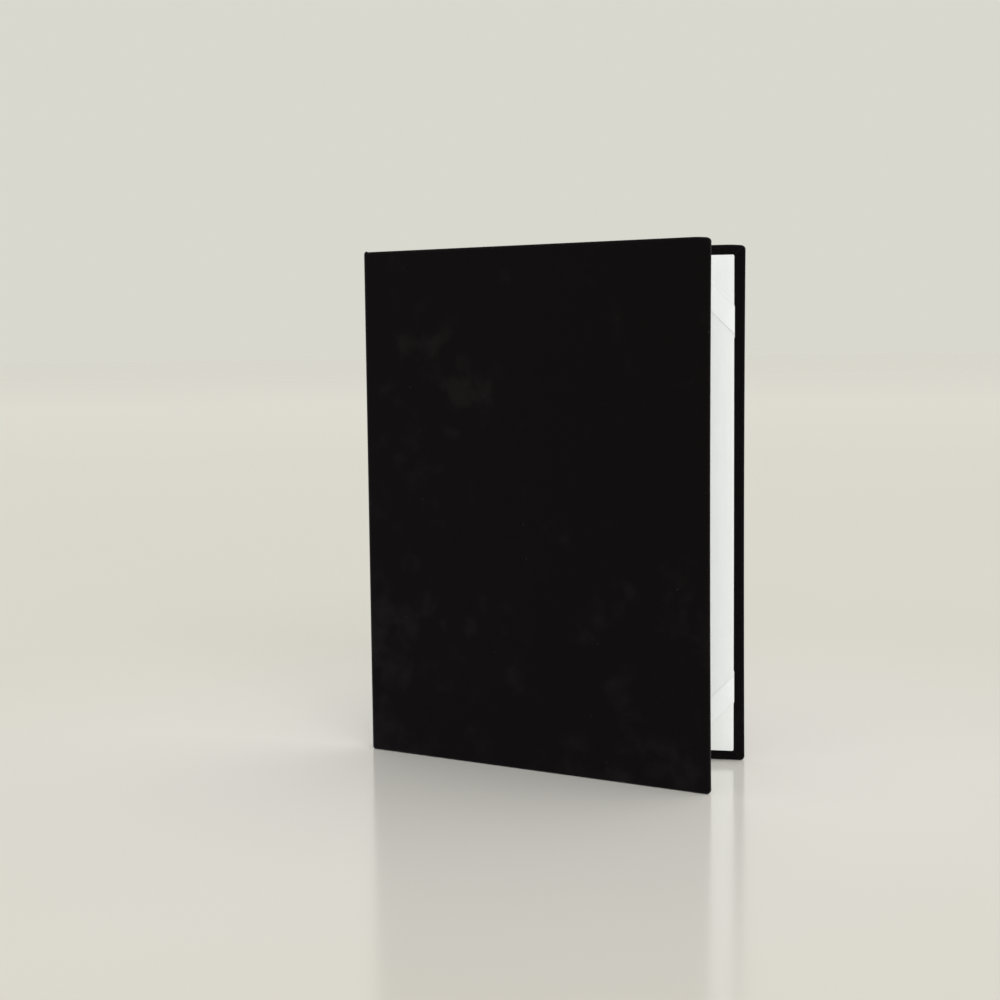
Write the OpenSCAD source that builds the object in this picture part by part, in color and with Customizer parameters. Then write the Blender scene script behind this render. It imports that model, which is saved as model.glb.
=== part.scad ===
// A4 certificate folder: two cloth-covered boards on a narrow spine, standing part open.
// Each cover is built flat and then turned about its hinge: X runs from the hinge axis to
// the fore-edge, Y from the outer face inwards, and Z up from the foot.

/* [Covers] */
// Width of the closed folder, from the spine's outer face to the fore-edge
cover_w = 230; // [160:1:330]
// Height of the folder
cover_h = 310; // [220:1:460]
// Thickness of the board inside each cover
board_t = 2.4; // [1.5:0.1:4]
// Radius of the board's corners, seen from the front
board_corner_r = 1.6; // [0.5:0.1:6]
// Thickness of the velvet, pile included
cloth_t = 0.8; // [0.4:0.1:1.2]
// Rounding of the covered edges
edge_r = 1.7; // [0.5:0.1:2.4]
// Width of the cloth turned in over the board
turn_in_w = 16; // [10:1:25]

/* [Opening] */
// Angle between the covers as the folder stands
open_angle = 18.5; // [0:0.5:60]
// Room left between the closed panels
closing_gap = 0.8; // [0.4:0.1:4]

/* [Spine] */
// Thickness of the card that stiffens the spine
spine_card_t = 1.2; // [0.6:0.1:1.8]
// Radius of the cloth's middle where it bends round each edge of the spine
bend_r = 3; // [2:0.1:4]
// Flat floor of the groove between the bend and the cloth on the board's edge
groove_floor = 0.5; // [0.2:0.1:2]

/* [Panels] */
// Border left round each panel at the head, foot and fore-edge
panel_margin = 6.1; // [3:0.1:15]
// Border left between the board's hinge edge and the panel
hinge_margin = 6; // [3:0.5:15]
// Thickness of the card inside each panel
card_t = 1.3; // [0.6:0.1:2.5]
// Radius of the panel card's corners
card_corner_r = 0.6; // [0.2:0.1:5]
// Thickness of the satin
satin_t = 0.3; // [0.1:0.05:0.5]
// Width of the satin turned in behind the panel card
satin_turn_in = 10; // [6:1:20]
// How far the joint lining reaches under the panel
lining_lap = 12; // [8:1:25]
// Gap round the filler card
filler_gap = 0.5; // [0.2:0.1:2]

/* [Corner ribbons] */
// Width of a ribbon
ribbon_w = 12; // [6:1:20]
// Thickness of a ribbon
ribbon_t = 0.35; // [0.1:0.05:0.4]
// Distance from the panel's corner to where a ribbon's middle crosses the panel's edge
ribbon_reach = 38; // [25:1:60]
// Depth of the ribbon's tail behind the panel
ribbon_tail = 8; // [4:0.5:12]

/* [Hidden] */
$fn = 64;
velvet_black = "#171415";
satin_white = "#F1F2EE";
board_grey = "#8F8A80";
// Cutting solids run this far past the faces that they cut
past = 1;
// Hair's breadth between pieces of one cloth that turn about the hinge and pieces that don't
seam_gap = 0.01;

cover_t = board_t + 2 * cloth_t;
panel_t = card_t + 2 * satin_t;
spine_t = spine_card_t + 2 * cloth_t;
spine_w = 2 * (cover_t + panel_t) + ribbon_t + closing_gap;
// The edge's rounding stays within the cover's thickness and outside the board's corner
edge_round = min(edge_r, 0.45 * cover_t, 3 * cloth_t);
corner_r = board_corner_r + cloth_t;
satin_edge_r = 1.6 * satin_t;
satin_corner_r = card_corner_r + satin_t;

// The hinge axis lies in the middle of the cloth, at the crest of its bend
half_open = open_angle / 2;
bend_turn = 90 - half_open;
bend_out_r = bend_r + cloth_t / 2;
axis_depth = cloth_t / 2 + bend_r * (1 - cos(bend_turn / 2));
bend_reach = bend_r * sin(bend_turn / 2);
axis_y = spine_w / 2 - axis_depth;

// Places along a cover, from its hinge axis
groove_wall_u = bend_reach + groove_floor;
board_u = groove_wall_u + cloth_t;
fore_u = cover_w - axis_depth;
panel_u = board_u + hinge_margin;
panel_end_u = fore_u - panel_margin;
lining_end_u = panel_u + lining_lap;

// Half widths across the spine
spine_flat = axis_y - bend_reach;
spine_card_half = axis_y - board_u;

// The middle stretch, between the cloth turned in at the head and at the foot
middle_z = turn_in_w;
middle_h = cover_h - 2 * turn_in_w;

// The filler card lies inside the turned-in cloth and the end of the joint lining
filler_border = turn_in_w + filler_gap;
filler_u = lining_end_u + filler_gap;

// The origin is midway along the standing folder, at its foot
fore_reach = axis_depth + (fore_u - edge_round) * cos(half_open)
           + (cover_t - edge_round - axis_depth) * sin(half_open) + edge_round;
spine_x = -fore_reach / 2;

// Places a cover's flat pieces at the front
module on_front() {
    translate([spine_x + axis_depth, -axis_y, 0])
        rotate([0, 0, -half_open])
            translate([0, -axis_depth, 0])
                children();
}

// Turns what is made for the front to the back
module on_back() {
    mirror([0, 1, 0]) children();
}

// A block between two corners
module block(low, high) {
    translate(low) cube(high - low);
}

// A rectangle with round corners, from the origin
module round_rect(size, r) {
    translate([r, 0]) square([size.x - 2 * r, size.y]);
    translate([0, r]) square([size.x, size.y - 2 * r]);
    for (x = [r, size.x - r], y = [r, size.y - r])
        translate([x, y]) circle(r);
}

// A slab with its four sides rounded by edge and its corners by corner, from the origin
module soft_slab(size, edge, corner) {
    intersection() {
        linear_extrude(size.z) round_rect([size.x, size.y], edge);
        rotate([90, 0, 90]) linear_extrude(size.x) round_rect([size.y, size.z], edge);
        translate([0, size.y, 0]) rotate([90, 0, 0])
            linear_extrude(size.y) round_rect([size.x, size.z], corner);
    }
}

// Outline of the cloth at the spine, seen along the folder: depth inwards, then height
module spine_profile(depth) {
    intersection() {
        round_rect([cover_t, cover_h], edge_round);
        square([depth, cover_h]);
    }
}

// The flat board, in the cover's own place
module board() {
    translate([board_u, cloth_t + board_t, cloth_t]) rotate([90, 0, 0])
        linear_extrude(board_t)
            round_rect([fore_u - cloth_t - board_u, cover_h - 2 * cloth_t], board_corner_r);
}

// The velvet over one cover: outer face, rounded edges and turn-ins
module cover_cloth() {
    slab_u = bend_reach - 2 * corner_r;
    difference() {
        translate([slab_u, 0, 0])
            soft_slab([fore_u - slab_u, cover_t, cover_h], edge_round, corner_r);
        // The bend starts here
        block([slab_u - past, -past, -past],
              [bend_reach + seam_gap, cover_t + past, cover_h + past]);
        // The groove at the hinge
        block([slab_u, 2 * cloth_t, -past], [groove_wall_u, cover_t + past, cover_h + past]);
        board();
        // The bare middle of the inside
        block([slab_u, cloth_t, middle_z],
              [fore_u - turn_in_w, cover_t + past, middle_z + middle_h]);
    }
}

// The strip that lines the groove and the board's hinge edge, and ends under the panel
module joint_lining() {
    translate([0, 0, middle_z]) linear_extrude(middle_h) {
        translate([bend_reach + seam_gap, cloth_t])
            square([board_u - bend_reach - seam_gap, cloth_t]);
        translate([groove_wall_u, cloth_t]) square([cloth_t, board_t + cloth_t]);
        translate([groove_wall_u, cloth_t + board_t])
            square([lining_end_u - groove_wall_u, cloth_t]);
    }
}

// The card that brings the board level with the turned-in cloth
module filler_card() {
    block([filler_u, cloth_t + board_t, filler_border],
          [fore_u - filler_border, cover_t, cover_h - filler_border]);
}

// The card inside a panel
module panel_card() {
    size = [panel_end_u - panel_u - 2 * satin_t, cover_h - 2 * (panel_margin + satin_t)];
    translate([panel_u + satin_t, cover_t + satin_t + card_t, panel_margin + satin_t])
        rotate([90, 0, 0]) linear_extrude(card_t) round_rect(size, card_corner_r);
}

// The satin wrapped round the panel card and turned in behind it
module panel_satin() {
    size = [panel_end_u - panel_u, panel_t, cover_h - 2 * panel_margin];
    difference() {
        translate([panel_u, cover_t, panel_margin])
            soft_slab(size, satin_edge_r, satin_corner_r);
        panel_card();
        block([panel_u + satin_turn_in, cover_t - past, panel_margin + satin_turn_in],
              [panel_end_u - satin_turn_in, cover_t + satin_t,
               cover_h - panel_margin - satin_turn_in]);
    }
}

// Half of a corner ribbon: from the middle of its slope, over the edge and behind the panel.
// The panel's corner is the origin, X runs along the edge, Y from the panel's back to its
// face, and Z into the panel.
module half_ribbon() {
    near = ribbon_reach - ribbon_w / sqrt(2);
    far = ribbon_reach + ribbon_w / sqrt(2);
    // A slanting ribbon moves along the edge as it goes round it
    near_behind = near + panel_t;
    far_behind = far + panel_t;
    translate([0, panel_t + ribbon_t, 0]) rotate([90, 0, 0]) linear_extrude(ribbon_t)
        polygon([[near, -ribbon_t], [far, -ribbon_t], [far, 0],
                 [far / 2, far / 2], [near / 2, near / 2], [near, 0]]);
    translate([0, 0, -ribbon_t]) linear_extrude(ribbon_t)
        polygon([[near, panel_t + ribbon_t], [far, panel_t + ribbon_t], [far, panel_t],
                 [far_behind, 0], [far_behind, -ribbon_t],
                 [near_behind, -ribbon_t], [near_behind, 0], [near, panel_t]]);
    rotate([90, 0, 0]) linear_extrude(ribbon_t)
        polygon([[near_behind, -ribbon_t], [far_behind, -ribbon_t], [far_behind, 0],
                 [far_behind + ribbon_tail, ribbon_tail],
                 [near_behind + ribbon_tail, ribbon_tail], [near_behind, 0]]);
}

// A ribbon round the panel's corner, both halves
module corner_ribbon() {
    half_ribbon();
    mirror([1, 0, -1]) half_ribbon();
}

// The ribbon at one corner of the panel, in the cover's own place
module ribbon(fore, top) {
    translate([fore ? panel_end_u : panel_u, cover_t, top ? cover_h - panel_margin : panel_margin])
        mirror([fore ? 1 : 0, 0, 0])
            mirror([0, 0, top ? 1 : 0])
                corner_ribbon();
}

// All four ribbons, which press their tails into what lies behind the panel
module ribbons() {
    for (fore = [true, false], top = [true, false])
        ribbon(fore, top);
}

// Carries an outline round the bend at the front edge of the spine
module round_bend() {
    translate([spine_x + bend_out_r, -spine_flat, 0])
        rotate([0, 0, 180])
            rotate_extrude(angle = bend_turn)
                translate([bend_out_r, 0]) mirror([1, 0]) children();
}

// The velvet round the bend, with the turn-ins at its head and foot
module hinge_cloth() {
    round_bend() difference() {
        spine_profile(2 * cloth_t);
        translate([cloth_t, middle_z]) square([cloth_t + past, middle_h]);
    }
}

// The lining inside the bend
module hinge_lining() {
    round_bend() translate([cloth_t, middle_z]) square([cloth_t, middle_h]);
}

module front_cover_cloth() { color(velvet_black) on_front() cover_cloth(); }
module front_board() { color(board_grey) on_front() board(); }
module front_joint_lining() { color(velvet_black) on_front() joint_lining(); }
module front_filler_card() { color(board_grey) on_front() filler_card(); }
module front_panel_card() { color(board_grey) on_front() panel_card(); }
module front_panel_satin() { color(satin_white) on_front() panel_satin(); }
module front_hinge_cloth() { color(velvet_black) hinge_cloth(); }
module front_hinge_lining() { color(velvet_black) hinge_lining(); }

module spine_cloth() {
    color(velvet_black) difference() {
        translate([spine_x, spine_flat, 0]) rotate([90, 0, 0])
            linear_extrude(2 * spine_flat) spine_profile(spine_t);
        // The grooves beside the spine card
        for (side = [0, 1]) mirror([0, side, 0])
            block([spine_x + 2 * cloth_t, spine_card_half + cloth_t, -past],
                  [spine_x + spine_t + past, spine_flat + past, cover_h + past]);
        spine_card();
        // The bare middle of the inside
        block([spine_x + cloth_t, -spine_flat - past, middle_z],
              [spine_x + spine_t + past, spine_flat + past, middle_z + middle_h]);
    }
}

module spine_card() {
    color(board_grey)
        block([spine_x + cloth_t, -spine_card_half, cloth_t],
              [spine_x + cloth_t + spine_card_t, spine_card_half, cover_h - cloth_t]);
}

module spine_lining() {
    color(velvet_black) translate([spine_x, 0, middle_z]) linear_extrude(middle_h) {
        for (side = [0, 1]) mirror([0, side]) {
            translate([cloth_t, spine_card_half])
                square([cloth_t, spine_flat - spine_card_half]);
            translate([cloth_t, spine_card_half])
                square([spine_card_t + cloth_t, cloth_t]);
        }
        translate([cloth_t + spine_card_t, -spine_card_half])
            square([cloth_t, 2 * spine_card_half]);
    }
}

module back_hinge_cloth() { color(velvet_black) on_back() hinge_cloth(); }
module back_hinge_lining() { color(velvet_black) on_back() hinge_lining(); }

module back_cover_cloth() {
    color(velvet_black) on_back() on_front() difference() {
        cover_cloth();
        ribbons();
    }
}

module back_board() { color(board_grey) on_back() on_front() board(); }

module back_joint_lining() {
    color(velvet_black) on_back() on_front() difference() {
        joint_lining();
        ribbons();
    }
}

module back_filler_card() {
    color(board_grey) on_back() on_front() difference() {
        filler_card();
        ribbons();
    }
}

module back_panel_card() { color(board_grey) on_back() on_front() panel_card(); }
module back_panel_satin() { color(satin_white) on_back() on_front() panel_satin(); }
module ribbon_top_fore() { color(satin_white) on_back() on_front() ribbon(true, true); }
module ribbon_bottom_fore() { color(satin_white) on_back() on_front() ribbon(true, false); }
module ribbon_top_spine() { color(satin_white) on_back() on_front() ribbon(false, true); }
module ribbon_bottom_spine() { color(satin_white) on_back() on_front() ribbon(false, false); }

front_cover_cloth();
front_board();
front_joint_lining();
front_filler_card();
front_panel_card();
front_panel_satin();
front_hinge_cloth();
front_hinge_lining();
spine_cloth();
spine_card();
spine_lining();
back_hinge_cloth();
back_hinge_lining();
back_cover_cloth();
back_board();
back_joint_lining();
back_filler_card();
back_panel_card();
back_panel_satin();
ribbon_top_fore();
ribbon_bottom_fore();
ribbon_top_spine();
ribbon_bottom_spine();
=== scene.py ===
"""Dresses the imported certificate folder: velvet covers, satin panels and corner ribbons.

Pieces are modelled in millimetres, each cover's pieces flat in the cover's own place: X runs from
the hinge axis to the fore-edge, Y from the outer face inwards and Z up. They are then set in the
frame, in metres. The back cover is the front one turned over, head to foot.
"""

import logging
import math
from contextlib import contextmanager
from dataclasses import dataclass
from enum import Enum
from functools import partial
from typing import Callable, Iterator, Sequence

import bmesh
import bpy
from bpy.types import Material, NodeSocket, NodeTree, Object
from mathutils import Matrix, Vector


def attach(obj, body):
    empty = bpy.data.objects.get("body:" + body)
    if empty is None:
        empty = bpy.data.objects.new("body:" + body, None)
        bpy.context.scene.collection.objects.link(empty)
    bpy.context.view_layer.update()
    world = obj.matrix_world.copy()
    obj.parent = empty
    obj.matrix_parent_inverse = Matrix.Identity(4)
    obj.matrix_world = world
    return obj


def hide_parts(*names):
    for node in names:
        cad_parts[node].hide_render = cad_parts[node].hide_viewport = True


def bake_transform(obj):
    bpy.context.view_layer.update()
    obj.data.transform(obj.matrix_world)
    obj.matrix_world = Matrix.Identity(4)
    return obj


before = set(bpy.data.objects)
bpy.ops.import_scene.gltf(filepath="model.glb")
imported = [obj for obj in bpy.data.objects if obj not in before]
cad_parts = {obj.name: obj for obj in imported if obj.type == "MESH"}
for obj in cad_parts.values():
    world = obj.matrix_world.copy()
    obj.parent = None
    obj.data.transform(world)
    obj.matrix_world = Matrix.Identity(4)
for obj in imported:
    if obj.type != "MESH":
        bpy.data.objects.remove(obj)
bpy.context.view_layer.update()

log = logging.getLogger("certificate_folder")

MM = 0.001
# Two places closer than this are the same place, in millimetres
TOUCH = 0.005
# A point this close to a cut lies on it, in millimetres
ON_CUT = TOUCH / 10
# A face looks along a direction when the cosine of the angle between them is above this
FACING = 0.9
# Faces that meet at less than this angle are shaded as one, in degrees
SMOOTH_BELOW = 40
# Angle that a wave texture of scale 1 turns through in one unit, in radians
WAVE_TURN = 20.0
# Sockets of a Mix node that mixes colours
COLOUR_A = 6
COLOUR_B = 7
COLOUR_MIXED = 2
ALONG_X = Vector((1, 0, 0))
ALONG_Y = Vector((0, 1, 0))
ALONG_Z = Vector((0, 0, 1))
# add_node with its tree already given
AddNode = Callable[..., NodeSocket]


class Side(Enum):
    """The cover that a piece belongs to."""

    FRONT = "front"
    BACK = "back"

    @property
    def body(self) -> str:
        """Name of the body that the cover's pieces ride on."""
        return f"{self.value}_cover"


class Corner(Enum):
    """Corner of the back panel, by its height and its end of the cover."""

    TOP_FORE = ("top", "fore")
    BOTTOM_FORE = ("bottom", "fore")
    TOP_SPINE = ("top", "spine")
    BOTTOM_SPINE = ("bottom", "spine")

    @property
    def node(self) -> str:
        """Name of the frame's ribbon at this corner."""
        return "ribbon_" + "_".join(self.value)


@dataclass(frozen=True)
class FolderSizes:
    """Sizes of the folder in millimetres and degrees, as in the part's source."""

    cover_w: float = 230.0
    cover_h: float = 310.0
    board_t: float = 2.4
    board_corner_r: float = 1.6
    cloth_t: float = 0.8
    edge_r: float = 1.7
    turn_in_w: float = 16.0
    open_angle: float = 18.5
    closing_gap: float = 0.8
    spine_card_t: float = 1.2
    bend_r: float = 3.0
    groove_floor: float = 0.5
    panel_margin: float = 6.1
    hinge_margin: float = 6.0
    card_t: float = 1.3
    card_corner_r: float = 0.6
    satin_t: float = 0.3
    satin_turn_in: float = 10.0
    lining_lap: float = 12.0
    ribbon_w: float = 12.0
    ribbon_t: float = 0.35
    ribbon_reach: float = 38.0
    ribbon_tail: float = 8.0
    # Roundings that the source leaves out, as shares of the cloth's and the grooves' thickness
    arris_share: float = 0.8
    groove_end_share: float = 0.98

    @property
    def cover_t(self) -> float:
        """Thickness of a covered board."""
        return self.board_t + 2 * self.cloth_t

    @property
    def panel_t(self) -> float:
        """Thickness of a panel, satin included."""
        return self.card_t + 2 * self.satin_t

    @property
    def groove_t(self) -> float:
        """Thickness of the two cloths in the grooves beside the spine."""
        return 2 * self.cloth_t

    @property
    def arris_r(self) -> float:
        """Radius of the cloth over a board's hinge edge."""
        return self.cloth_t * self.arris_share

    @property
    def groove_end_r(self) -> float:
        """Radius of the grooves' cloth at the spine's head and foot."""
        return self.groove_t * self.groove_end_share

    @property
    def half_open(self) -> float:
        """Angle between a cover and the middle of the folder, in radians."""
        return math.radians(self.open_angle / 2)

    @property
    def bend_turn(self) -> float:
        """Angle that the cloth turns through at an edge of the spine, in radians."""
        return math.pi / 2 - self.half_open

    @property
    def axis_depth(self) -> float:
        """Depth of the hinge axis below the outer faces."""
        return self.cloth_t / 2 + self.bend_r * (1 - math.cos(self.bend_turn / 2))

    @property
    def bend_reach(self) -> float:
        """Distance from the hinge axis to each end of the bend."""
        return self.bend_r * math.sin(self.bend_turn / 2)

    @property
    def axis_y(self) -> float:
        """Distance of each hinge axis from the middle of the spine."""
        spine_w = 2 * (self.cover_t + self.panel_t) + self.ribbon_t + self.closing_gap
        return spine_w / 2 - self.axis_depth

    @property
    def groove_wall_u(self) -> float:
        """Place along a cover of the cloth on the board's hinge edge."""
        return self.bend_reach + self.groove_floor

    @property
    def board_u(self) -> float:
        """Place along a cover of the board's hinge edge."""
        return self.groove_wall_u + self.cloth_t

    @property
    def fore_u(self) -> float:
        """Place along a cover of its fore-edge."""
        return self.cover_w - self.axis_depth

    @property
    def panel_u(self) -> float:
        """Place along a cover of the panel's spine side."""
        return self.board_u + self.hinge_margin

    @property
    def panel_end_u(self) -> float:
        """Place along a cover of the panel's fore side."""
        return self.fore_u - self.panel_margin

    @property
    def spine_flat(self) -> float:
        """Half width of the spine's flat."""
        return self.axis_y - self.bend_reach

    @property
    def spine_x(self) -> float:
        """Place of the spine's outer face in the frame."""
        turned = (self.fore_u - self.edge_r) * math.cos(self.half_open)
        stepped = (self.cover_t - self.edge_r - self.axis_depth) * math.sin(self.half_open)
        return -(self.axis_depth + turned + stepped + self.edge_r) / 2

    def on_cover(self, side: Side) -> Matrix:
        """Gives the move from a cover's own place to the frame, both in millimetres.

        Args:
            side: The cover.

        Returns:
            The move as a matrix.
        """
        hinge = Matrix.Translation((self.spine_x + self.axis_depth, -self.axis_y, 0))
        turn = Matrix.Rotation(-self.half_open, 4, "Z")
        sink = Matrix.Translation((0, -self.axis_depth, 0))
        return self.turned_over(side) @ hinge @ turn @ sink

    def turned_over(self, side: Side) -> Matrix:
        """Gives the move that turns what is made at the front to the back.

        Args:
            side: The cover that the piece belongs to.

        Returns:
            Half a turn about the folder's middle for the back, and no move for the front.
        """
        if side is Side.FRONT:
            return Matrix.Identity(4)
        raised = Matrix.Translation((0, 0, self.cover_h))
        return raised @ Matrix.Rotation(math.pi, 4, "X")


SIZES = FolderSizes()


def near(place: float, *others: float) -> bool:
    """Tells whether other places in millimetres are all the same as the first."""
    return all(abs(place - other) < TOUCH for other in others)


def ease(share: float) -> float:
    """Turns a share into a smooth step from 0 to 1."""
    kept = min(max(share, 0.0), 1.0)
    return kept * kept * (3 - 2 * kept)


def steps(start: float, end: float, pitch: float) -> list[float]:
    """Gives even places between two ends, both left out, that are a pitch apart at most."""
    count = max(1, math.ceil((end - start) / pitch))
    return [start + (end - start) * i / count for i in range(1, count)]


def add_block(name: str, low: Sequence[float], high: Sequence[float]) -> Object:
    """Adds a cube stretched between two corners, as the start of a piece.

    Args:
        name: The piece's name.
        low: Lowest corner.
        high: Highest corner.

    Returns:
        The new object, the only one selected.
    """
    bpy.ops.object.select_all(action="DESELECT")
    middle = (Vector(low) + Vector(high)) / 2
    bpy.ops.mesh.primitive_cube_add(size=1, location=middle, scale=Vector(high) - Vector(low))
    bpy.ops.object.transform_apply()
    piece = bpy.context.object
    piece.name = name
    piece.data.name = name
    return piece


@contextmanager
def editing() -> Iterator[None]:
    """Opens the active piece in edit mode, and closes it again."""
    bpy.ops.object.mode_set(mode="EDIT")
    yield
    bpy.ops.object.mode_set(mode="OBJECT")


def pick_edges(test: Callable[[Vector, Vector], bool]) -> None:
    """Selects the edited piece's edges whose two ends pass a test.

    Args:
        test: Takes both ends and tells whether the edge is wanted.
    """
    bpy.ops.mesh.select_mode(type="EDGE")
    bpy.ops.mesh.select_all(action="DESELECT")
    form = bmesh.from_edit_mesh(bpy.context.object.data)
    for edge in form.edges:
        if test(edge.verts[0].co, edge.verts[1].co):
            edge.select_set(True)
    bmesh.update_edit_mesh(bpy.context.object.data)


def pick_faces(test: Callable[[Vector, Vector], bool]) -> None:
    """Selects the edited piece's faces whose middle and normal pass a test.

    Args:
        test: Takes the middle and the normal and tells whether the face is wanted.
    """
    bpy.ops.mesh.select_mode(type="FACE")
    bpy.ops.mesh.select_all(action="DESELECT")
    form = bmesh.from_edit_mesh(bpy.context.object.data)
    form.normal_update()
    for face in form.faces:
        if test(face.calc_center_median(), face.normal):
            face.select_set(True)
    bmesh.update_edit_mesh(bpy.context.object.data)


def round_edges(radius: float, segments: int) -> None:
    """Bevels the selected edges to an arc."""
    bpy.ops.mesh.bevel(offset=radius, segments=segments, profile=0.5, affect="EDGES")


def extrude(move: Sequence[float]) -> None:
    """Extrudes what is selected by a move."""
    bpy.ops.mesh.extrude_region_move(TRANSFORM_OT_translate={"value": move})


def join_points(reach: float = TOUCH) -> None:
    """Joins the edited piece's points that lie close together, and turns its faces outwards.

    Args:
        reach: Distance within which two points become one, in millimetres.
    """
    bpy.ops.mesh.select_mode(type="VERT")
    bpy.ops.mesh.select_all(action="SELECT")
    bpy.ops.mesh.remove_doubles(threshold=reach)
    bpy.ops.mesh.normals_make_consistent(inside=False)


def cut_at(direction: Vector, places: Sequence[float]) -> None:
    """Cuts the whole edited piece by planes across one direction.

    Args:
        direction: The direction, of length 1.
        places: Where the planes stand along it.
    """
    for place in places:
        bpy.ops.mesh.select_all(action="SELECT")
        bpy.ops.mesh.bisect(plane_co=direction * place, plane_no=direction, threshold=ON_CUT)


def reshape(piece: Object, move: Callable[[Vector], Vector]) -> None:
    """Moves each point of a piece one by one.

    Args:
        piece: The piece.
        move: Takes a point's place and gives its new place.
    """
    for point in piece.data.vertices:
        point.co = move(point.co.copy())
    piece.data.update()


def thicken(piece: Object, thickness: float, offset: float = -1.0) -> None:
    """Gives the active sheet its thickness, in millimetres.

    Args:
        piece: The sheet.
        thickness: Its thickness.
        offset: -1 for inwards and 0 for half to each side.
    """
    wall = piece.modifiers.new("thickness", "SOLIDIFY")
    wall.thickness = thickness
    wall.offset = offset
    wall.use_even_offset = True
    bpy.ops.object.modifier_apply(modifier=wall.name)


def set_in_frame(piece: Object, place: Matrix) -> None:
    """Moves the active piece from its own place in millimetres to the frame, in metres.

    Args:
        piece: The piece, at the origin.
        place: The move, in millimetres.
    """
    piece.matrix_world = Matrix.Scale(MM, 4) @ place
    bpy.ops.object.transform_apply()
    if place.is_negative:
        with editing():
            bpy.ops.mesh.select_all(action="SELECT")
            bpy.ops.mesh.normals_make_consistent(inside=False)
    bpy.ops.object.shade_smooth_by_angle(angle=math.radians(SMOOTH_BELOW))


def linear(hex_colour: str) -> tuple[float, float, float, float]:
    """Turns an sRGB colour, written as "#RRGGBB", into a linear one with an alpha of 1."""
    parts = [int(hex_colour[i:i + 2], 16) / 255 for i in (1, 3, 5)]
    return (*(c / 12.92 if c <= 0.04045 else ((c + 0.055) / 1.055) ** 2.4 for c in parts), 1.0)


def per_mm(size: float) -> float:
    """Scale of a pattern on metres whose features are a size in millimetres."""
    return 1 / (size * MM)


def add_node(tree: NodeTree, kind: str, inputs: dict[str | int, object] | None = None,
             output: str | int = 0, **settings: object) -> NodeSocket | None:
    """Adds a node with its settings, values and links.

    Args:
        tree: The node tree.
        kind: The node's type, without the ShaderNode in front.
        inputs: A value or an output socket for each input, by name or number.
        output: The output that is wanted, by name or number.
        settings: The node's own settings.

    Returns:
        The socket of that output, or None from a node that has no outputs.
    """
    node = tree.nodes.new(f"ShaderNode{kind}")
    for setting, value in settings.items():
        setattr(node, setting, value)
    for socket, value in (inputs or {}).items():
        if isinstance(value, NodeSocket):
            tree.links.new(value, node.inputs[socket])
        else:
            node.inputs[socket].default_value = value
    return node.outputs[output] if node.outputs else None


def new_material(name: str) -> tuple[Material, AddNode]:
    """Adds an empty material.

    Args:
        name: The material's name.

    Returns:
        The material, and add_node for its own tree.
    """
    material = bpy.data.materials.new(name)
    material.use_nodes = True
    material.node_tree.nodes.clear()
    return material, partial(add_node, material.node_tree)


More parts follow.
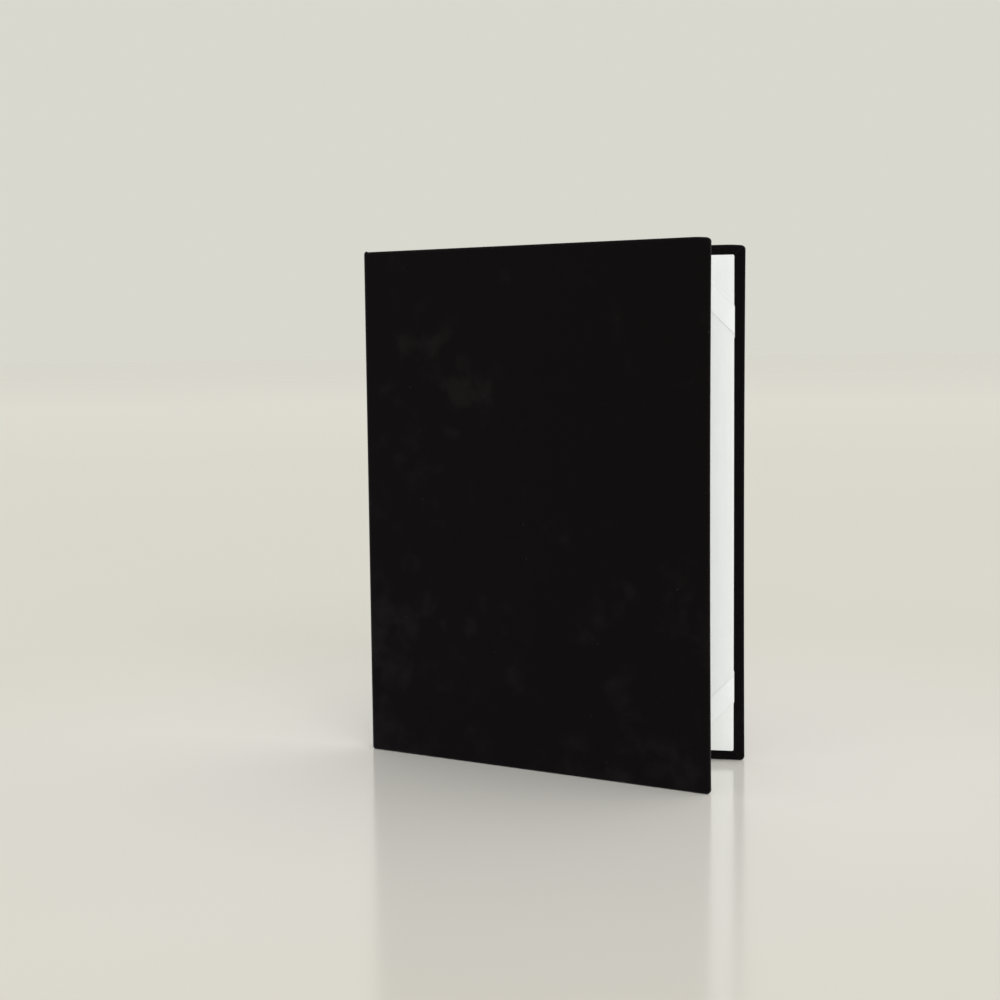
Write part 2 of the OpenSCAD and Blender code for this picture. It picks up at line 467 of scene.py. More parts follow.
@dataclass(frozen=True)
class VelvetFinish:
    """Black cotton velvet, woven and sheared: a dark pile that drinks light.

    Seen square on it is almost black. Strokes of a hand leave patches of pile that lean and look a
    little lighter; where they are seen aslant, a painted sheen makes their colour paler. Pale lint
    clings to the pile here and there.
    """

    pile: str = "#0D0A0B"
    brushed: str = "#151313"
    # Pale colour painted on brushed patches seen aslant, a painted sheen
    glow: str = "#363237"
    lint: str = "#302D2E"
    fuzz: str = "#7E787F"
    patch_mm: float = 75.0
    stroke_mm: float = 14.0
    # Chooses where the brushed patches fall
    pattern: float = 6.7
    # Hands brush the pile more towards the foot, from this height down, and towards the fore-edge,
    # between these two places, in metres
    held_below: float = 0.13
    held_beyond: tuple[float, float] = (0.075, 0.1)
    held_weight: float = 0.065
    # The tufts are about 0.2 mm apart, and are drawn coarser so that they show
    tuft_mm: float = 0.3
    tuft_height_mm: float = 0.12
    lint_spacing_mm: float = 10.0
    lint_mm: float = 0.75
    # Share of the spots for lint that stay free of it
    lint_free: float = 0.6

    def brushing(self, add: AddNode, place: NodeSocket) -> NodeSocket:
        """Adds the strokes of a hand over the pile.

        Args:
            add: Adds a node to the material.
            place: The place on the piece.

        Returns:
            How strongly the pile is brushed there.
        """
        patches = add("TexNoise", {
            "Vector": place, "W": self.pattern, "Scale": per_mm(self.patch_mm), "Detail": 1.0,
            "Roughness": 0.5, "Distortion": 0.3}, noise_dimensions="4D")
        strokes = add("TexNoise", {
            "Vector": place, "W": self.pattern, "Scale": per_mm(self.stroke_mm), "Detail": 2.5,
            "Roughness": 0.5, "Distortion": 0.2}, noise_dimensions="4D")
        both = add("Math", {0: patches, 1: strokes}, operation="MULTIPLY")
        along = add("SeparateXYZ", {"Vector": place}).node.outputs
        low = add("MapRange", {"Value": along["Z"], "From Min": self.held_below, "From Max": 0.0})
        fore = add("MapRange", {
            "Value": along["X"], "From Min": self.held_beyond[0], "From Max": self.held_beyond[1]})
        held = add("Math", {0: low, 1: fore}, operation="MAXIMUM")
        return add("Math", {0: held, 1: self.held_weight, 2: both}, operation="MULTIPLY_ADD")

    def build(self) -> Material:
        """Makes the velvet's material.

        Returns:
            The material.
        """
        material, add = new_material("black_cotton_velvet")
        place = add("TexCoord", output="Object")
        brushing = self.brushing(add, place)
        lean = add("MapRange", {"Value": brushing, "From Min": 0.285, "From Max": 0.48},
                   interpolation_type="SMOOTHSTEP")
        nap = add("Mix", {
            "Factor": lean, COLOUR_A: linear(self.pile), COLOUR_B: linear(self.brushed)},
            COLOUR_MIXED, data_type="RGBA")
        tufts = add("TexNoise", {
            "Vector": place, "Scale": per_mm(self.tuft_mm), "Detail": 2.0, "Roughness": 0.6})
        depth = add("MapRange", {
            "Value": tufts, "From Min": 0.3, "From Max": 0.7, "To Min": 0.6, "To Max": 1.4})
        grain = add("Mix", {"Factor": 1.0, COLOUR_A: nap, COLOUR_B: depth}, COLOUR_MIXED,
                    data_type="RGBA", blend_type="MULTIPLY")
        # Painted sheen: brushed patches seen aslant are mixed towards a pale colour by the facing angle
        raised = add("MapRange", {"Value": brushing, "From Min": 0.14, "From Max": 0.42},
                     interpolation_type="SMOOTHSTEP")
        facing = add("LayerWeight", {"Blend": 0.5}, "Facing")
        aslant = add("MapRange", {"Value": facing, "From Min": 0.3}, interpolation_type="SMOOTHSTEP")
        glow = add("Math", {0: raised, 1: aslant}, operation="MULTIPLY")
        # The base colour with the painted sheen mixed in
        sheared = add("Mix", {"Factor": glow, COLOUR_A: grain, COLOUR_B: linear(self.glow)},
                      COLOUR_MIXED, data_type="RGBA")
        cells = add("TexVoronoi", {
            "Vector": place, "Scale": per_mm(self.lint_spacing_mm), "Randomness": 1.0}).node.outputs
        speck = add("Math", {0: cells["Distance"], 1: self.lint_mm / 2 / self.lint_spacing_mm},
                    operation="LESS_THAN")
        some = add("Math", {0: cells["Color"], 1: self.lint_free}, operation="GREATER_THAN")
        caught = add("Math", {0: speck, 1: some}, operation="MULTIPLY")
        colour = add("Mix", {"Factor": caught, COLOUR_A: sheared, COLOUR_B: linear(self.lint)},
                     COLOUR_MIXED, data_type="RGBA")
        bump = add("Bump", {"Height": tufts, "Strength": 0.5, "Distance": self.tuft_height_mm * MM})
        shader = add("BsdfPrincipled", {
            "Base Color": colour, "Roughness": 0.95, "Normal": bump, "IOR": 1.5,
            "Specular IOR Level": 0.05, "Sheen Weight": 0.5, "Sheen Roughness": 0.4,
            "Sheen Tint": linear(self.fuzz)})
        add("OutputMaterial", {"Surface": shader})
        return material


@dataclass(frozen=True)
class SatinFinish:
    """White acetate satin stretched over card: long floats run up the panel.

    The floats give a soft vertical shimmer, and the cloth pulled over the card leaves faint long
    streaks from head to foot.
    """

    cloth: str = "#EBEDEC"
    shade: str = "#E3E6E5"
    streak_mm: float = 3.2
    streak_length_mm: float = 150.0
    # The floats are about 0.15 mm apart, and are drawn coarser so that they show
    float_mm: float = 0.6
    float_length_mm: float = 7.2
    float_height_mm: float = 0.12

    def build(self) -> Material:
        """Makes the satin's material.

        Returns:
            The material.
        """
        material, add = new_material("white_acetate_satin")
        place = add("TexCoord", output="Object")
        drawn = add("Mapping", {"Vector": place, "Scale": (
            per_mm(self.streak_mm), per_mm(self.streak_mm), per_mm(self.streak_length_mm))})
        streaks = add("TexNoise", {
            "Vector": drawn, "Scale": 1.0, "Detail": 4.0, "Roughness": 0.55, "Distortion": 0.3})
        colour = add("Mix", {
            "Factor": streaks, COLOUR_A: linear(self.cloth), COLOUR_B: linear(self.shade)},
            COLOUR_MIXED, data_type="RGBA")
        laid = add("Mapping", {"Vector": place, "Scale": (
            per_mm(self.float_mm), per_mm(self.float_mm), per_mm(self.float_length_mm))})
        floats = add("TexNoise", {"Vector": laid, "Scale": 1.0, "Detail": 2.0, "Roughness": 0.5})
        height = add("Math", {0: floats, 1: streaks}, operation="ADD")
        bump = add("Bump", {
            "Height": height, "Strength": 0.25, "Distance": self.float_height_mm * MM})
        rough = add("MapRange", {"Value": streaks, "To Min": 0.34, "To Max": 0.5})
        shader = add("BsdfPrincipled", {
            "Base Color": colour, "Roughness": rough, "Normal": bump, "IOR": 1.46,
            "Specular IOR Level": 0.4, "Sheen Weight": 0.08, "Sheen Roughness": 0.4})
        add("OutputMaterial", {"Surface": shader})
        return material


@dataclass(frozen=True)
class RibbonFinish:
    """White satin ribbon: smooth and brighter than the panel, with a firm woven edge.

    The pattern follows the ribbon through its own UV map, U across it and V along it.
    """

    face: str = "#EDEFEF"
    edge: str = "#E5E7E7"
    # The weft is about 0.2 mm apart, and is drawn coarser so that it shows
    weft_mm: float = 0.65
    weft_height_mm: float = 0.06
    # Width of the selvedge as a share of the ribbon, and its height over the weft's
    selvedge_share: float = 0.06
    selvedge_height: float = 2.0
    strip_mm: float = 100.0

    def build(self) -> Material:
        """Makes the ribbon's material.

        Returns:
            The material.
        """
        material, add = new_material("white_satin_ribbon")
        place = add("UVMap")
        across = add("SeparateXYZ", {"Vector": place})
        middle = add("Math", {0: across, 1: 0.5}, operation="SUBTRACT")
        aside = add("Math", {0: middle}, operation="ABSOLUTE")
        selvedge = add("MapRange", {
            "Value": aside, "From Min": 0.5 - self.selvedge_share,
            "From Max": 0.5 - self.selvedge_share / 2}, interpolation_type="SMOOTHSTEP")
        colour = add("Mix", {
            "Factor": selvedge, COLOUR_A: linear(self.face), COLOUR_B: linear(self.edge)},
            COLOUR_MIXED, data_type="RGBA")
        weft = add("TexWave", {
            "Vector": place, "Scale": math.tau / WAVE_TURN * self.strip_mm / self.weft_mm,
            "Distortion": 0.6, "Detail": 1.0, "Detail Scale": 4.0}, "Fac",
            wave_type="BANDS", bands_direction="Y")
        height = add("Math", {0: selvedge, 1: self.selvedge_height, 2: weft}, operation="MULTIPLY_ADD")
        bump = add("Bump", {
            "Height": height, "Strength": 0.25, "Distance": self.weft_height_mm * MM})
        rough = add("MapRange", {"Value": selvedge, "To Min": 0.28, "To Max": 0.55})
        shader = add("BsdfPrincipled", {
            "Base Color": colour, "Roughness": rough, "Normal": bump, "IOR": 1.46,
            "Specular IOR Level": 0.5, "Sheen Weight": 0.05, "Sheen Roughness": 0.4})
        add("OutputMaterial", {"Surface": shader})
        return material


@dataclass(frozen=True)
class GreyboardFinish:
    """Grey board pressed from waste paper: dull, with short fibres and darker flecks."""

    pulp: str = "#8F8A80"
    fleck: str = "#6E695F"
    fibre_mm: float = 1.2
    fibre_height_mm: float = 0.1

    def build(self) -> Material:
        """Makes the board's material.

        Returns:
            The material.
        """
        material, add = new_material("grey_board")
        place = add("TexCoord", output="Object")
        fibres = add("TexNoise", {
            "Vector": place, "Scale": per_mm(self.fibre_mm), "Detail": 5.0, "Roughness": 0.7})
        flecks = add("MapRange", {"Value": fibres, "From Min": 0.5, "From Max": 0.75})
        colour = add("Mix", {
            "Factor": flecks, COLOUR_A: linear(self.pulp), COLOUR_B: linear(self.fleck)},
            COLOUR_MIXED, data_type="RGBA")
        bump = add("Bump", {
            "Height": fibres, "Strength": 0.2, "Distance": self.fibre_height_mm * MM})
        shader = add("BsdfPrincipled", {
            "Base Color": colour, "Normal": bump, "Roughness": 0.9, "IOR": 1.5})
        add("OutputMaterial", {"Surface": shader})
        return material


@dataclass(frozen=True)
class TableFinish:
    """Pale lacquered table top: it mirrors what stands on it, and painted shade darkens it further off.
    """

    lacquer: str = "#E8E5DD"
    # Colour painted further off, a painted shade
    far_off: str = "#DFDBCF"
    near_m: float = 0.2
    far_m: float = 0.7
    cloud_mm: float = 400.0

    def build(self) -> Material:
        """Makes the table top's material.

        Returns:
            The material.
        """
        material, add = new_material("pale_lacquered_table")
        place = add("TexCoord", output="Object")
        clouds = add("TexNoise", {"Vector": place, "Scale": per_mm(self.cloud_mm), "Detail": 1.0})
        # Painted shade: the colour darkens with distance from the folder, its edge broken by soft
        # clouds
        away = add("VectorMath", {0: place}, "Value", operation="LENGTH")
        drift = add("Math", {0: clouds, 1: self.near_m, 2: away}, operation="MULTIPLY_ADD")
        distance = add("MapRange", {"Value": drift, "From Min": self.near_m, "From Max": self.far_m},
                       interpolation_type="SMOOTHSTEP")
        colour = add("Mix", {
            "Factor": distance, COLOUR_A: linear(self.lacquer), COLOUR_B: linear(self.far_off)},
            COLOUR_MIXED, data_type="RGBA")
        shader = add("BsdfPrincipled", {"Base Color": colour, "Roughness": 0.14, "IOR": 1.45})
        add("OutputMaterial", {"Surface": shader})
        return material


@dataclass(frozen=True)
class Finishes:
    """The materials that the pieces share."""

    velvet: Material
    satin: Material
    ribbon: Material
    greyboard: Material


def coat(piece: Object, material: Material) -> None:
    """Gives a piece its one material and reports it.

    Args:
        piece: The piece, or a board or card of the frame.
        material: Its material.
    """
    piece.data.materials.clear()
    piece.data.materials.append(material)
    log.info("%s: %d faces, %s", piece.name, len(piece.data.polygons), material.name)


def dress(piece: Object, material: Material) -> None:
    """Coats a modelled piece with its material."""
    coat(piece, material)


@dataclass
class CoverVelvet:
    """The velvet over one board: outer face, rounded edges and turned-in hems."""

    side: Side
    sizes: FolderSizes = SIZES
    grid: float = 9.0
    # Cuts along the hems, as shares of the border that shows round the panel
    border_cuts: tuple[float, ...] = (0.55, 0.75, 1.0, 1.4, 1.9)
    # The fore-edge of each cover stands out at head and foot, and draws in from there halfway up
    flare: float = 0.3
    front_bow: float = 0.65
    back_bow: float = 0.5
    bow_depth: float = 5.0
    # The head's fore corner sinks by this much
    slump: float = 0.7
    slump_reach: float = 9.0
    slump_power: float = 1.5
    # At the fore corners one hem laps over the other: height of its slanted edge, width of the step
    # down from it and distance over which the upper hem sinks back
    lap: float = 0.45
    lap_step: float = 0.35
    lap_reach: float = 5.0
    # The slanted cuts pass close by the grid's points, and those nearer than this are joined
    sliver: float = 0.04
    # The rounded arris turns to the inside or to the hinge by more than this cosine
    arris_turn: float = 0.05

    def outline(self) -> Object:
        """Shapes the covered board as a closed slab with soft edges.

        Returns:
            The slab.
        """
        s = self.sizes
        piece = add_block(f"{self.side.value}_cover_velvet", (s.groove_wall_u, 0, 0),
                          (s.fore_u, s.cover_t, s.cover_h))
        with editing():
            pick_edges(lambda a, b: near(s.fore_u, a.x, b.x) and near(a.z, b.z))
            round_edges(s.board_corner_r + s.cloth_t, segments=6)
            # Round the outer and the inner face, away from the hinge
            pick_edges(lambda a, b: near(a.y, b.y) and (near(a.y, 0) or near(a.y, s.cover_t))
                       and not near(s.groove_wall_u, a.x, b.x))
            round_edges(s.edge_r, segments=6)
            pick_edges(lambda a, b: near(s.groove_wall_u, a.x, b.x) and near(s.cover_t, a.y, b.y))
            round_edges(s.arris_r, segments=3)
            join_points()
        return piece

    def cut_window(self) -> None:
        """Cuts a working grid and takes out the bare middle of the inside."""
        s = self.sizes
        hem_u = s.fore_u - s.turn_in_w
        border = [s.panel_margin * share for share in self.border_cuts]
        with editing():
            cut_at(ALONG_X, steps(s.groove_wall_u, hem_u, self.grid) + [hem_u])
            cut_at(ALONG_X, [s.fore_u - inset for inset in border])
            cut_at(ALONG_Z, [s.turn_in_w, s.cover_h - s.turn_in_w])
            cut_at(ALONG_Z, steps(s.turn_in_w, s.cover_h - s.turn_in_w, self.grid))
            cut_at(ALONG_Z, border + [s.cover_h - inset for inset in border])
            for end in (0.0, s.cover_h):
                self.cut_mitre(end)
            join_points(self.sliver)
            pick_faces(self.in_window)
            bpy.ops.mesh.delete(type="FACE")

    def cut_mitre(self, end: float) -> None:
        """Cuts the inner face along the slanted lap of one fore corner.

        Args:
            end: Height of the corner.
        """
        s = self.sizes
        lean = 1.0 if end > 0 else -1.0
        for aside in (self.lap_step, 0.0, -self.lap_reach / 3, -self.lap_reach * 2 / 3):
            pick_faces(lambda middle, normal: normal.y > FACING and middle.x > s.fore_u - s.turn_in_w
                       and abs(middle.z - end) < s.turn_in_w)
            bpy.ops.mesh.bisect(plane_co=(s.fore_u - aside, 0, end), plane_no=(1, 0, -lean),
                                threshold=ON_CUT)

    def in_window(self, middle: Vector, normal: Vector) -> bool:
        """Tells whether a face lies where the lining and filler card are.

        Args:
            middle: Middle of the face.
            normal: Its normal.

        Returns:
            Whether the velvet leaves the face bare.
        """
        s = self.sizes
        between = s.turn_in_w < middle.z < s.cover_h - s.turn_in_w
        inside = middle.y > s.cover_t - s.cloth_t and middle.x < s.fore_u - s.turn_in_w
        wall = middle.x < s.groove_wall_u + TOUCH
        inwards = normal.y > self.arris_turn or normal.x < -self.arris_turn
        return between and (inside or wall) and inwards

    def settle(self, p: Vector) -> Vector:
        """Lets the cloth depart a little from the slab's straight edges.

        Args:
            p: A point of the slab.

        Returns:
            Its place on the real cover.
        """
        s = self.sizes
        up = p.z if self.side is Side.FRONT else s.cover_h - p.z
        down = 1.0 if self.side is Side.FRONT else -1.0
        to_fore = s.fore_u - p.x
        for height in (p.z, s.cover_h - p.z):
            aside = to_fore - height
            sunk = ease(aside / self.lap_step) if aside > 0 else ease(-aside / self.lap_reach)
            bared = ease((s.panel_margin - (to_fore + height) / 2) / self.lap_reach + 1)
            p.y += self.lap * (1 - sunk) * bared * ease((p.y - s.cover_t + s.edge_r) / s.edge_r)
        share = 2 * up / s.cover_h - 1
        bow = self.front_bow if self.side is Side.FRONT else self.back_bow
        p.x += (self.flare - bow * (1 - share * share)) * ease(1 - to_fore / self.bow_depth)
        corner = math.hypot(to_fore, s.cover_h - up)
        p.z -= down * self.slump * max(0.0, 1 - corner / self.slump_reach) ** self.slump_power
        return p

    def build(self, finishes: Finishes) -> Object:
        """Makes the velvet and sets it on its cover.

        Args:
            finishes: The shared materials.

        Returns:
            The finished piece.
        """
        s = self.sizes
        piece = self.outline()
        self.cut_window()
        reshape(piece, self.settle)
        thicken(piece, s.cloth_t)
        set_in_frame(piece, s.on_cover(self.side))
        dress(piece, finishes.velvet)
        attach(piece, self.side.body)
        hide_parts(f"{self.side.value}_cover_cloth")
        return piece


@dataclass
class HingeVelvet:
    """The velvet and its lining bent round one edge of the spine, in one fixed shape."""

    side: Side
    sizes: FolderSizes = SIZES
    bend_steps: int = 14
    # The cloth stands up by this much at the head of the bend
    nib: float = 0.45
    nib_depth: float = 3.0

    def bend_centre(self) -> Vector:
        """Middle of the bend at the front edge of the spine."""
        s = self.sizes
        return Vector((s.bend_r + s.cloth_t / 2 + s.spine_x, -s.spine_flat, 0))

    def stand_up(self, p: Vector) -> Vector:
        """Raises the cloth a little at the head of the bend.

        Args:
            p: A point of the bend, before it is turned over.

        Returns:
            Its place on the real folder.
        """
        s = self.sizes
        up = p.z if self.side is Side.FRONT else s.cover_h - p.z
        down = 1.0 if self.side is Side.FRONT else -1.0
        from_centre = p - self.bend_centre()
        turned = math.atan2(-from_centre.y, -from_centre.x) / s.bend_turn
        hump = math.sin(math.pi * min(max(turned, 0.0), 1.0))
        p.z += down * self.nib * hump * ease((up - s.cover_h + self.nib_depth) / self.nib_depth)
        return p

    def build(self, finishes: Finishes) -> Object:
        """Makes the bend and sets it in the frame.

        Args:
            finishes: The shared materials.

        Returns:
            The finished piece.
        """
        s = self.sizes
        piece = add_block(f"{self.side.value}_hinge_velvet", (s.bend_reach, 0, 0),
                          (s.groove_wall_u, s.groove_t, s.cover_h))
        with editing():
            pick_edges(lambda a, b: near(0, a.y, b.y) and near(a.z, b.z))
            round_edges(s.groove_end_r, segments=5)
        piece.matrix_world = s.on_cover(Side.FRONT)
        bpy.ops.object.transform_apply()
        flow = s.on_cover(Side.FRONT).to_3x3() @ -ALONG_X
        with editing():
            pick_faces(lambda middle, normal: normal.dot(flow) > FACING)
            bpy.ops.mesh.spin(steps=self.bend_steps, angle=s.bend_turn, center=self.bend_centre(),
                              axis=ALONG_Z)
            join_points()
        reshape(piece, self.stand_up)
        set_in_frame(piece, s.turned_over(self.side))
        dress(piece, finishes.velvet)
        halfway = s.cover_h / 2
        start = s.turned_over(self.side) @ Vector((s.spine_x + s.cloth_t / 2, -s.spine_flat, halfway))
        end = s.on_cover(self.side) @ Vector((s.bend_reach, s.cloth_t / 2, halfway))
        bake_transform(piece)
        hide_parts(f"{self.side.value}_hinge_cloth", f"{self.side.value}_hinge_lining")
        return piece


@dataclass
class SpineVelvet:
    """The velvet over the spine card and the lining behind it, one closed strip."""

    sizes: FolderSizes = SIZES
    # Radius of the lining over the edges of the card, as a share of its thickness
    rib_share: float = 0.7

    def build(self, finishes: Finishes) -> Object:
        """Makes the strip and sets it on the spine.

        Args:
            finishes: The shared materials.

        Returns:
            The finished piece.
        """
        s = self.sizes
        rib_t = s.spine_card_t + 2 * s.cloth_t
        rib_half = s.axis_y - s.groove_wall_u
        piece = add_block("spine_velvet", (s.spine_x, -s.spine_flat, 0),
                          (s.spine_x + s.groove_t, s.spine_flat, s.cover_h))
        with editing():
            cut_at(ALONG_Y, [-rib_half, rib_half])
            pick_faces(lambda middle, normal: normal.x > FACING and abs(middle.y) < rib_half)
            extrude((rib_t - s.groove_t, 0, 0))
            pick_edges(lambda a, b: near(s.spine_x + rib_t, a.x, b.x) and near(a.y, b.y))
            round_edges(s.cloth_t * self.rib_share, segments=3)
            pick_edges(lambda a, b: near(s.spine_x, a.x, b.x) and near(a.z, b.z))
            round_edges(s.groove_end_r, segments=5)
        set_in_frame(piece, Matrix.Identity(4))
        dress(piece, finishes.velvet)
        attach(piece, "spine")
        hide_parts("spine_cloth", "spine_lining")
        return piece


@dataclass
class JointLining:
    """The strip that lines the board's hinge edge and runs under the panel."""

    side: Side
    sizes: FolderSizes = SIZES

    def build(self, finishes: Finishes) -> Object:
        """Makes the strip and sets it on its cover.

        Args:
            finishes: The shared materials.

        Returns:
            The finished piece.
        """
        s = self.sizes
        low = s.cloth_t + s.board_t
        end_u = s.panel_u + s.lining_lap
        ends = (s.turn_in_w, s.cover_h - s.turn_in_w)
        piece = add_block(f"{self.side.value}_joint_velvet", (s.groove_wall_u, low, ends[0]),
                          (end_u, s.cover_t, ends[1]))
        with editing():
            cut_at(ALONG_X, [s.board_u])
            pick_faces(lambda middle, normal: normal.y < -FACING and middle.x < s.board_u)
            extrude((0, s.groove_t - low, 0))
            pick_edges(lambda a, b: near(s.groove_wall_u, a.x, b.x) and near(s.cover_t, a.y, b.y))
            round_edges(s.arris_r, segments=3)
        set_in_frame(piece, s.on_cover(self.side))
        dress(piece, finishes.velvet)
        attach(piece, self.side.body)
        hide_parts(f"{self.side.value}_joint_lining")
        return piece


@dataclass
class PanelSatin:
    """The satin pulled over one panel card and turned in behind it."""

    side: Side
    sizes: FolderSizes = SIZES
    grid: float = 9.0
    face_r: float = 0.6
    back_r: float = 0.3

    def build(self, finishes: Finishes) -> Object:
        """Makes the satin and sets it on its cover.

        Args:
            finishes: The shared materials.

        Returns:
            The finished piece.
        """
        s = self.sizes
        low = Vector((s.panel_u, s.cover_t, s.panel_margin))
        high = Vector((s.panel_end_u, s.cover_t + s.panel_t, s.cover_h - s.panel_margin))
        hems = {axis: (low[axis] + s.satin_turn_in, high[axis] - s.satin_turn_in) for axis in (0, 2)}
        piece = add_block(f"{self.side.value}_panel_cover", low, high)
        with editing():
            pick_edges(lambda a, b: near(a.x, b.x) and near(a.z, b.z))
            round_edges(s.card_corner_r + s.satin_t, segments=4)
            pick_edges(lambda a, b: near(high.y, a.y, b.y))
            round_edges(self.face_r, segments=4)
            pick_edges(lambda a, b: near(low.y, a.y, b.y))
            round_edges(self.back_r, segments=2)
            for axis, direction in ((0, ALONG_X), (2, ALONG_Z)):
                cut_at(direction, steps(*hems[axis], self.grid))
                cut_at(direction, hems[axis])
            pick_faces(lambda middle, normal: normal.y < -FACING and all(
                hems[axis][0] < middle[axis] < hems[axis][1] for axis in hems))
            bpy.ops.mesh.delete(type="FACE")
        thicken(piece, s.satin_t)
        set_in_frame(piece, s.on_cover(self.side))
        dress(piece, finishes.satin)
        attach(piece, self.side.body)
        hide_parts(f"{self.side.value}_panel_satin")
        return piece


@dataclass
class CornerRibbon:
    """A ribbon drawn slantwise over one corner of the back panel and behind it."""

    corner: Corner
    sizes: FolderSizes = SIZES
    finish: RibbonFinish = RibbonFinish()
    grid: float = 4.0
    fold_r: float = 0.4
    # The ribbon stands off the panel by this much halfway along
    lift: float = 0.05

    @property
    def outside(self) -> float:
        """Place of the ribbon's middle layer beside the panel."""
        return -self.sizes.ribbon_t / 2

    @property
    def height(self) -> float:
        """Height of the ribbon's middle layer over the back of the panel."""
        return self.sizes.panel_t + self.sizes.ribbon_t / 2

    def strip(self) -> Object:
        """Lays a flat strip over the corner, with its ends cut along the panel's edges.

        The panel's corner is the origin, X and Z run into the panel and Y out of its face.

        Returns:
            The strip.
        """
        middle = self.sizes.ribbon_reach / 2
        bpy.ops.object.select_all(action="DESELECT")
        bpy.ops.mesh.primitive_plane_add(size=1, location=(middle, self.height, middle),
                                         rotation=(-math.pi / 2, -math.pi / 4, 0))
        piece = bpy.context.object
        piece.scale = (self.sizes.ribbon_w, self.finish.strip_mm, 1)
        bpy.ops.object.transform_apply()
        piece.name = f"corner_{self.corner.node}"
        piece.data.name = piece.name
        with editing():
            for across in (ALONG_X, ALONG_Z):
                bpy.ops.mesh.select_all(action="SELECT")
                bpy.ops.mesh.bisect(plane_co=across * self.outside, plane_no=across,
                                    clear_inner=True, threshold=ON_CUT)
        return piece

    def fold_over(self) -> None:
        """Folds both ends down the panel's sides and in behind it."""
        s = self.sizes
        down = s.panel_t + s.ribbon_t
        behind = self.height - down
        with editing():
            for axis, side in ((0, (0, -down, down)), (2, (down, -down, 0))):
                pick_edges(lambda a, b: near(self.outside, a[axis], b[axis]) and near(a.y, self.height))
                extrude(side)
                extrude((s.ribbon_tail, 0, s.ribbon_tail))
            pick_edges(lambda a, b: near(a.y, b.y) and (near(a.y, self.height) or near(a.y, behind))
                       and any(near(self.outside, a[axis], b[axis]) for axis in (0, 2)))
            round_edges(self.fold_r, segments=3)

    def rise(self, p: Vector) -> Vector:
        """Lets the ribbon stand off the panel a little between its folds.

        Args:
            p: A point of the ribbon.

        Returns:
            Its place on the real folder.
        """
        s = self.sizes
        if p.y > s.panel_t:
            p.y += self.lift * ease(1 - abs(p.x - p.z) / s.ribbon_reach)
        return p

    def at_corner(self) -> Matrix:
        """Gives the move from the corner's own place to the frame, in millimetres.

        Returns:
            The move as a matrix.
        """
        s = self.sizes
        height, end = self.corner.value
        u, flip_x = (s.panel_end_u, -1) if end == "fore" else (s.panel_u, 1)
        # The back cover's own place is head down
        z, flip_z = (s.cover_h - s.panel_margin, -1) if height == "bottom" else (s.panel_margin, 1)
        flip = Matrix.Diagonal((flip_x, 1, flip_z, 1))
        return s.on_cover(Side.BACK) @ Matrix.Translation((u, s.cover_t, z)) @ flip

    def build(self, finishes: Finishes) -> Object:
        """Makes the ribbon and sets it on the back panel.

        Args:
            finishes: The shared materials.

        Returns:
            The finished piece.
        """
        s = self.sizes
        root = math.sqrt(2)
        piece = self.strip()
        self.fold_over()
        half = s.ribbon_reach / root
        with editing():
            cut_at((ALONG_X - ALONG_Z).normalized(), steps(-half, half, self.grid))
        reshape(piece, self.rise)
        thicken(piece, s.ribbon_t, offset=0.0)
        set_in_frame(piece, self.at_corner())
        dress(piece, finishes.ribbon)
        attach(piece, Side.BACK.body)
        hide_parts(self.corner.node)
        return piece


@dataclass
class Folder:
    """The whole folder, piece by piece."""

    finishes: Finishes
    inner_nodes: tuple[str, ...] = (
        "front_board", "front_filler_card", "front_panel_card", "spine_card",
        "back_board", "back_filler_card", "back_panel_card",
    )

    def build(self) -> None:
        """Makes every piece and coats the boards and cards inside."""
        spine = SpineVelvet().build(self.finishes)
        for side in Side:
            cover = CoverVelvet(side)
            velvet = cover.build(self.finishes)
            hinge = HingeVelvet(side).build(self.finishes)
            JointLining(side).build(self.finishes)
            PanelSatin(side).build(self.finishes)
        for corner in Corner:
            CornerRibbon(corner).build(self.finishes)
        for node in self.inner_nodes:
            coat(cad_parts[node], self.finishes.greyboard)


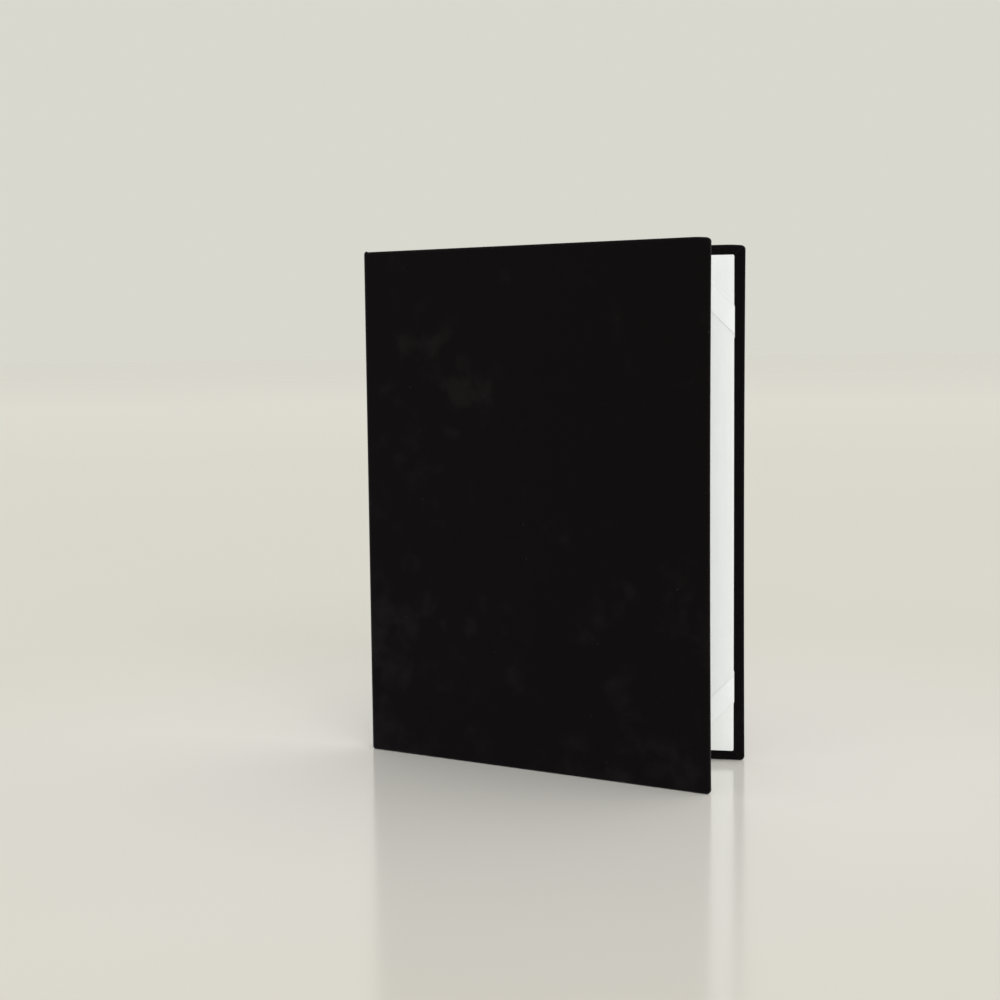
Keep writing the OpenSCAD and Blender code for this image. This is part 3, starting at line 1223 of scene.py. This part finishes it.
@dataclass
class Studio:
    """The table, the light and the camera."""

    floor_radius: float = 40.0
    floor_points: int = 96
    backdrop: str = "#D9D8CF"
    ambient: str = "#FFFFFF"
    ambient_level: float = 0.63
    # The camera fitted to the covers' corners in the photograph
    camera_at: tuple[float, float, float] = (0.3394, -0.9344, 0.2512)
    azimuth: float = 21.432
    pitch: float = 5.254
    roll: float = 0.643
    lens: float = 59.88
    sensor: float = 36.0
    clip_start: float = 0.01

    def add_floor(self) -> None:
        """Adds the table top."""
        bpy.ops.object.select_all(action="DESELECT")
        bpy.ops.mesh.primitive_circle_add(vertices=self.floor_points, radius=self.floor_radius,
                                          fill_type="NGON")
        floor = bpy.context.object
        floor.name = "table_top"
        floor.data.materials.append(TableFinish().build())

    def add_lamp(self, name: str, azimuth: float, height: float, spread: float, level: float,
                 mirrored: bool) -> None:
        """Adds a broad soft lamp, far enough away to light the whole table evenly.

        Args:
            name: The lamp's name.
            azimuth: Direction that it stands in, in degrees to the right of the folder's front.
            height: Its angle above the table, in degrees.
            spread: Angle that it looks wide, in degrees.
            level: Light that it sheds on a surface square to it. At 1 a colour looks as written.
            mirrored: Whether the lacquered table shows its reflection.
        """
        lamp = bpy.data.lights.new(name, "SUN")
        lamp.angle = math.radians(spread)
        lamp.energy = math.pi * level
        holder = bpy.data.objects.new(name, lamp)
        turn = Matrix.Rotation(math.radians(azimuth), 4, "Z")
        tilt = Matrix.Rotation(math.radians(90 - height), 4, "X")
        holder.matrix_world = turn @ tilt
        holder.visible_glossy = mirrored
        bpy.context.scene.collection.objects.link(holder)

    def add_world(self) -> None:
        """Adds even light all round, with a pale backdrop for the camera and reflections."""
        world = bpy.data.worlds.new("studio")
        world.use_nodes = True
        tree = world.node_tree
        tree.nodes.clear()
        add = partial(add_node, tree)
        rays = add("LightPath").node.outputs
        shown = add("Math", {0: rays["Is Camera Ray"], 1: rays["Is Glossy Ray"]}, operation="MAXIMUM")
        seen = add("Math", {0: shown, 1: rays["Is Transmission Ray"]}, operation="MAXIMUM")
        light = add("Background", {"Color": linear(self.ambient), "Strength": self.ambient_level})
        wall = add("Background", {"Color": linear(self.backdrop), "Strength": 1.0})
        mix = add("MixShader", {0: seen, 1: light, 2: wall})
        add("OutputWorld", {"Surface": mix})
        bpy.context.scene.world = world

    def add_camera(self) -> None:
        """Adds the camera at the photograph's viewing angle."""
        camera = bpy.data.cameras.new("camera")
        camera.sensor_width = self.sensor
        camera.lens = self.lens
        camera.clip_start = self.clip_start
        holder = bpy.data.objects.new("camera", camera)
        heading = Matrix.Rotation(math.radians(self.azimuth), 4, "Z")
        tilt = Matrix.Rotation(math.radians(90 - self.pitch), 4, "X")
        lean = Matrix.Rotation(math.radians(-self.roll), 4, "Z")
        holder.matrix_world = Matrix.Translation(self.camera_at) @ heading @ tilt @ lean
        bpy.context.scene.collection.objects.link(holder)
        bpy.context.scene.camera = holder

    def build(self) -> None:
        """Sets up the whole studio."""
        self.add_floor()
        self.add_world()
        self.add_lamp("soft_box_front", azimuth=32, height=15, spread=50, level=0.57, mirrored=False)
        self.add_lamp("soft_box_above", azimuth=95, height=60, spread=70, level=0.2, mirrored=True)
        self.add_camera()
        bpy.context.scene.view_settings.view_transform = "Standard"


def main() -> None:
    """Builds the folder and the studio."""
    logging.basicConfig(level=logging.INFO, format="%(message)s")
    finishes = Finishes(
        velvet=VelvetFinish().build(),
        satin=SatinFinish().build(),
        ribbon=RibbonFinish().build(),
        greyboard=GreyboardFinish().build(),
    )
    Folder(finishes).build()
    Studio().build()


if __name__ == "__main__":
    main()
